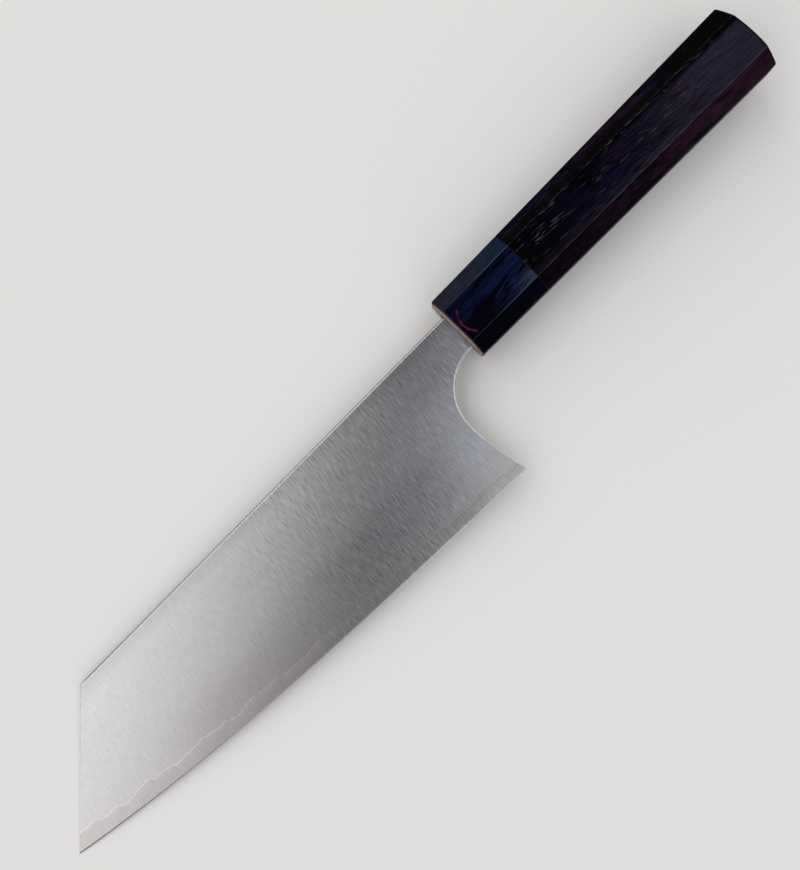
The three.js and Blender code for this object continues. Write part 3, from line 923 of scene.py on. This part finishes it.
def body_wood(finish, handle):
    """Plum-black stained wood with indigo and reddish zones, pale flecks in its pores, and painted
    sheen towards the butt and on the facet edges.
    """
    lean = 0.1
    sheet = material_sheet("plum_stained_wood")
    x, y, z = sheet.axes()
    edge_side, spine_side = facet_masks(x, y, handle)
    fibres = sheet.noise((150, 3600, 3600), lean, roughness=0.7)
    zones = sheet.noise((38, 240, 240), lean, (0.3, 0.1, 0), distortion=0.8)
    reds = sheet.noise((60, 330, 330), lean, (1.7, 0.6, 0), distortion=0.6)

    # Zones of the stain
    off_front = x.step(-32, -68, 0.05, 1.0)
    indigo = zones.step(0.32, 0.56) * off_front.at_least(spine_side)
    # greyer violet towards the butt, lightened by painted sheen on the upper flat
    butt_grey_and_sheen = x.step(-62, -112) * y.step(-6.4, -4)
    stripe = y.step(2.6, 5.8) * x.step(-30, -85, 0.3, 0.9)
    brown = reds.step(0.36, 0.58, 0.25, 1.0) * x.step(-34, -100, 0.3, 1.0)
    edge_tone = sheet.mix(brown, finish.plum_black, finish.red_brown)
    red = reds.step(0.55, 0.70) * x.step(-50, -75, 0.0, 0.8) * (1 - edge_side)
    red = red.at_least(spine_side * reds.step(0.53, 0.66, 0.0, 0.9))
    black = spine_side * x.step(-90, -102)
    at_border = y.step(-9.6, -8.4) * y.step(-4.4, -6)

    # Dark grain and pale flecks along it
    grain = fibres.step(0.58, 0.42) * x.step(-70, -115, 0.9, 0.4)
    pores = sheet.noise((210, 7400, 7400), lean, detail=0)
    where = sheet.noise((60, 420, 420), lean, (0.9, 2.0, 0), detail=2)
    flecks = pores.step(0.72, 0.77) * where.step(0.48, 0.58).at_least(at_border * 0.65)
    flecks = flecks * (1 - (edge_side + spine_side) * 0.8)
    flecks = flecks * y.step(3, -1.5, 0.35, 1.0) * x.step(-80, -115, 1.0, 0.5)

    # Worn facet edges with painted highlights, and dark rim of the butt
    wear_and_highlight = sheet.mask("polish") * y.step(-8, 4, 0.25, 1.0)
    wear_and_highlight = wear_and_highlight * fibres.step(0.44, 0.58, 0.3, 0.95)
    from_middle = (y - handle.butt_dome_towards_edge / MM) ** 2 + z * z
    dome = from_middle * (0.5 * MM / handle.butt_dome_radius) - handle.handle_reach / MM
    rim = (x - dome).step(0.9, 0.4, 0.0, 0.85)
    dark = finish.plum_black
    tone = sheet.coats(
        dark, (indigo, finish.indigo), (butt_grey_and_sheen.at_least(stripe), finish.violet_and_sheen),
        (edge_side, edge_tone), (red, finish.magenta), (black.at_least(at_border), dark),
        (grain, dark), (flecks, finish.fleck), (wear_and_highlight, finish.worn_violet_and_highlight), (rim, dark),
    )
    sheet.set(
        Base_Color=tone, Roughness=fibres * 0.16 + flecks * 0.2 + 0.30, Specular_IOR_Level=0.01,
        Normal=sheet.bump(fibres - flecks, 0.2, 0.08 * MM),
    )
    return sheet.owner


def cured_glue(name, colour, gloss=0.4):
    """Glue or resin with faint clouding and a slightly uneven surface."""
    sheet = material_sheet(name)
    clouds = sheet.noise(420)
    sheet.set(
        Base_Color=sheet.mix(clouds.step(0.3, 0.7), darker(colour, 0.75), colour),
        Roughness=clouds * 0.2 + 0.4, Specular_IOR_Level=gloss,
        Normal=sheet.bump(clouds, 0.15, 0.1 * MM),
    )
    return sheet.owner


def plain_beech(colour):
    """Turned beech with fine grain and short dark rays."""
    sheet = material_sheet("plain_beech")
    grain = sheet.noise((90, 1400, 1400), detail=4)
    rays = sheet.noise((500, 4200, 4200), detail=1)
    tone = sheet.coats(
        darker(colour, 0.72), (grain.step(0.3, 0.7), colour),
        (rays.step(0.66, 0.74, 0.0, 0.6), darker(colour, 0.4)),
    )
    sheet.set(Base_Color=tone, Roughness=0.65, Normal=sheet.bump(grain, 0.2, 0.1 * MM))
    return sheet.owner


def pale_floor(colour):
    """Plain pale floor with a faint tooth."""
    sheet = material_sheet("pale_floor")
    tooth = sheet.noise(900, detail=2)
    tone = sheet.mix(tooth.step(0.3, 0.7), darker(colour, 0.985), colour)
    sheet.set(Base_Color=tone, Roughness=0.85, Specular_IOR_Level=0.2)
    return sheet.owner


# Pieces

def lay_down(mesh, material, node):
    """Lays a mesh in the knife's frame with the knife and lets it stand for a CAD node."""
    stage = bpy.context.scene.knife_stage
    piece = bpy.data.objects.new(mesh.name, mesh)
    bpy.context.scene.collection.objects.link(piece)
    mesh.materials.append(material)
    piece.matrix_world = Matrix.Translation(stage.place) @ Matrix.Rotation(stage.pitch, 4, "Y")
    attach(piece, BODY)
    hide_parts(node)


class KNIFE_OT_core(bpy.types.Operator):
    """Build the core layer with the tang, the bare band above the edge and the edge bevel"""

    bl_idname = "knife.core"
    bl_label = "Core steel"

    def execute(self, context):
        sizes, finish = context.scene.knife_blade, context.scene.knife_finish
        blade = Blade(sizes)
        edge = curve(blade.edge_y, blade.tip, blade.heel, sizes.edge_step)
        outline = [(x, y, 0.0) for x, y, _ in blade.outline(edge)]
        lines = [
            (blade.lengthwise(blade.limit_y, sizes.limit_step), True, 1.0),
            (blade.lengthwise(blade.pale_y, sizes.limit_step), False, 0.0),
            (blade.lengthwise(blade.shoulder_y, sizes.edge_step), True, 0.0),
            # the -1 mark on the bevel's middle carries the painted shadow line along the edge
            (blade.lengthwise(blade.bevel_y, sizes.edge_step), False, -1.0),
        ]

        def upper(x, y):
            core = blade.core_half(x)
            return min(core, blade.face_half(x, y)) if x > 0 else core

        mesh = plate_mesh(
            "core_steel_ground", outline, lines, upper, lambda x, y: -upper(x, y),
            sizes.mesh_step, 1,
        )
        tints = finish.core_steel, finish.edge_steel, finish.edge_steel, finish.core_steel
        steel = ground_steel("core_steel", tints, finish.scratch_lean, finish.line_gain)
        lay_down(mesh, steel, "core_steel")
        return {"FINISHED"}


class KNIFE_OT_claddings(bpy.types.Operator):
    """Build the two satin outer layers with rounded spine and choil and the wavy lower limit"""

    bl_idname = "knife.claddings"
    bl_label = "Claddings"

    def execute(self, context):
        sizes, finish = context.scene.knife_blade, context.scene.knife_finish
        blade = Blade(sizes)
        outline = blade.outline(blade.lengthwise(blade.limit_y, sizes.limit_step))

        def lower(x, y):
            return blade.core_half(x) + sizes.weld_line

        def upper(x, y):
            return max(blade.face_half(max(x, 0), y), lower(x, y))

        tints = finish.warm_steel, finish.satin_steel, finish.edge_steel, finish.core_steel
        steel = ground_steel("cladding_steel", tints, finish.scratch_lean, 0.0)
        for name, node, side in (
            ("left_cladding_satin", "left_cladding", 1),
            ("right_cladding_satin", "right_cladding", -1),
        ):
            mesh = plate_mesh(name, outline, [], upper, lower, sizes.mesh_step, side)
            lay_down(mesh, steel, node)
        return {"FINISHED"}


class KNIFE_OT_ferrule(bpy.types.Operator):
    """Build the stained ferrule with its chamfered front, mouth and bore"""

    bl_idname = "knife.ferrule"
    bl_label = "Ferrule"

    def execute(self, context):
        sizes, finish = context.scene.knife_handle, context.scene.knife_finish
        handle = Handle(sizes)
        back, bore_end = handle.ferrule_back, handle.dowel_front
        chamfer = sizes.front_chamfer
        ease = handle.chamfer_ease * chamfer
        outside = [
            (back, 0.0), (-2 * chamfer, 0.0), (-chamfer - ease, 0.0), (-chamfer + ease, ease),
            (-ease, chamfer - ease), (0.0, chamfer + ease),
        ]
        rings = [handle.ring(x, inset) for x, inset in outside]
        rings += [handle.mouth_ring(0.0), handle.mouth_ring(bore_end)]
        rings += handle.round_rings(sizes.bore_diameter, bore_end, back)
        mesh = skin_mesh("ferrule_stained", rings, True, handle.edge_wear)
        lay_down(mesh, ferrule_wood(finish, sizes), "ferrule")
        return {"FINISHED"}


class KNIFE_OT_seam(bpy.types.Operator):
    """Build the thin glue line between ferrule and body"""

    bl_idname = "knife.seam"
    bl_label = "Seam"

    def execute(self, context):
        sizes, finish = context.scene.knife_handle, context.scene.knife_finish
        handle = Handle(sizes)
        front = handle.ferrule_back - sizes.touch_gap
        back = handle.body_front + sizes.touch_gap
        rings = [handle.ring(front), handle.ring(back)]
        rings += handle.round_rings(sizes.bore_diameter, back, front)
        mesh = skin_mesh("seam_line", rings, True, lambda index: 0.0)
        glue = cured_glue("seam_glue", finish.seam_glue, gloss=0.04)
        lay_down(mesh, glue, "seam_glue_line")
        return {"FINISHED"}


class KNIFE_OT_handle_body(bpy.types.Operator):
    """Build the stained handle body with its blind hole, rounded rim and domed butt"""

    bl_idname = "knife.handle_body"
    bl_label = "Handle body"

    def execute(self, context):
        sizes, finish = context.scene.knife_handle, context.scene.knife_finish
        handle = Handle(sizes)
        front, bore_end = handle.body_front, handle.dowel_back
        rings = handle.round_rings(sizes.tang_hole_diameter, -sizes.tang_hole_end, bore_end)
        rings += handle.round_rings(sizes.bore_diameter, bore_end, front)
        butt = -handle.butt_start * sizes.handle_reach
        stations = np.linspace(front, butt, handle.body_stations)
        rings += [handle.ring(float(x)) for x in stations]
        for turn in np.linspace(0, math.pi / 2, handle.rim_steps + 1):
            inset = sizes.butt_round * (1 - math.cos(turn))
            rings.append(handle.butt_ring(inset, sizes.butt_round * (1 - math.sin(turn))))
        rim = rings[-1]
        for share in handle.dome_shares:
            spots = [(point.y * share, point.z * share) for point in rim]
            rings.append([Vector((handle.dome_x(y, z), y, z)) for y, z in spots])
        mesh = skin_mesh("handle_body_stained", rings, False, handle.edge_wear)
        lay_down(mesh, body_wood(finish, sizes), "handle_body")
        return {"FINISHED"}


class KNIFE_OT_hidden_pieces(bpy.types.Operator):
    """Give the dowel, the bedding and the mouth seal inside the handle their finishes"""

    bl_idname = "knife.hidden_pieces"
    bl_label = "Pieces inside the handle"

    def execute(self, context):
        finish = context.scene.knife_finish
        finishes = {
            "joining_dowel": plain_beech(finish.beech),
            "tang_bedding": cured_glue("bedding_resin", finish.resin),
            "mouth_seal": cured_glue("sealing_resin", finish.mouth_resin),
        }
        for node, material in finishes.items():
            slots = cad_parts[node].material_slots
            if not slots:
                raise RuntimeError(f"{node} has no material slot")
            for slot in slots:
                slot.material = material
        return {"FINISHED"}


class KNIFE_OT_stage(bpy.types.Operator):
    """Set up the pale floor, the soft light and the camera"""

    bl_idname = "knife.stage"
    bl_label = "Stage"

    def execute(self, context):
        scene = context.scene
        stage = scene.knife_stage
        scene.view_settings.view_transform = "Standard"
        turn = Matrix.Rotation(stage.camera_turn, 4, "Z")
        view = turn @ Matrix.Rotation(stage.camera_tilt, 4, "X")
        camera_data = bpy.data.cameras.new("camera")
        camera_data.lens = stage.focal_length
        camera_data.clip_start = 10 * MM
        camera = bpy.data.objects.new("camera", camera_data)
        scene.collection.objects.link(camera)
        back = view @ Vector((0, 0, stage.camera_distance))
        camera.matrix_world = Matrix.Translation(Vector(stage.look_at) + back) @ view
        scene.camera = camera

        bm = bmesh.new()
        bmesh.ops.create_grid(bm, x_segments=1, y_segments=1, size=stage.floor_width / 2)
        floor = bpy.data.objects.new("floor", mesh_of("floor", bm))
        floor.location.z = -FLOOR_DROP
        floor.data.materials.append(pale_floor(scene.knife_finish.floor))
        scene.collection.objects.link(floor)

        self.light(scene, view.to_3x3())
        return {"FINISHED"}

    def light(self, scene, view):
        """Soft boxes on both sides of the camera, with a darker gap above the knife."""
        scene.world = bpy.data.worlds.new("studio")
        sheet = Sheet(scene.world, "ShaderNodeBackground", "ShaderNodeOutputWorld", "Generated")
        across = sheet.facing(view @ Vector((1, 0, 0)))
        upwards = sheet.facing(view @ Vector((0, 1, 0)))
        ramp = sheet.add("ShaderNodeValToRGB", {"Fac": across.step(-1.0, 1.0, kind="LINEAR")})
        elements = ramp.color_ramp.elements
        while len(elements) < len(LIGHT_LEVELS):
            elements.new(0.5)
        for element, (place, level) in zip(elements, LIGHT_LEVELS):
            element.position = (place + 1) / 2
            light = next(parts for limit, parts in LIGHT_TINTS if place <= limit)
            element.color = (*darker(light, level / 2), 1)
        sheet.set(
            Color=Value(sheet, ramp.outputs["Color"]),
            Strength=upwards.step(*LIGHT_FADE, kind="LINEAR"),
        )


class KNIFE_PT_panel(bpy.types.Panel):
    """Lists the knife's pieces and its stage"""

    bl_idname = "KNIFE_PT_panel"
    bl_label = "Bunka knife"
    bl_space_type = "VIEW_3D"
    bl_region_type = "UI"
    bl_category = "Knife"

    def draw(self, context):
        for operator in OPERATORS:
            self.layout.operator(operator.bl_idname)


GROUPS = {
    "knife_blade": BladeSizes,
    "knife_handle": HandleSizes,
    "knife_finish": KnifeFinish,
    "knife_stage": StageSettings,
}
OPERATORS = (
    KNIFE_OT_core,
    KNIFE_OT_claddings,
    KNIFE_OT_ferrule,
    KNIFE_OT_seam,
    KNIFE_OT_handle_body,
    KNIFE_OT_hidden_pieces,
    KNIFE_OT_stage,
)


def register():
    for group in GROUPS.values():
        bpy.utils.register_class(group)
    for name, group in GROUPS.items():
        setattr(bpy.types.Scene, name, bpy.props.PointerProperty(type=group))
    for entry in (*OPERATORS, KNIFE_PT_panel):
        bpy.utils.register_class(entry)


def unregister():
    for entry in reversed((*OPERATORS, KNIFE_PT_panel)):
        bpy.utils.unregister_class(entry)
    for name in GROUPS:
        delattr(bpy.types.Scene, name)
    for group in reversed(tuple(GROUPS.values())):
        bpy.utils.unregister_class(group)


def main():
    register()
    for operator in OPERATORS:
        group, name = operator.bl_idname.split(".")
        getattr(getattr(bpy.ops, group), name)()


if __name__ == "__main__":
    main()
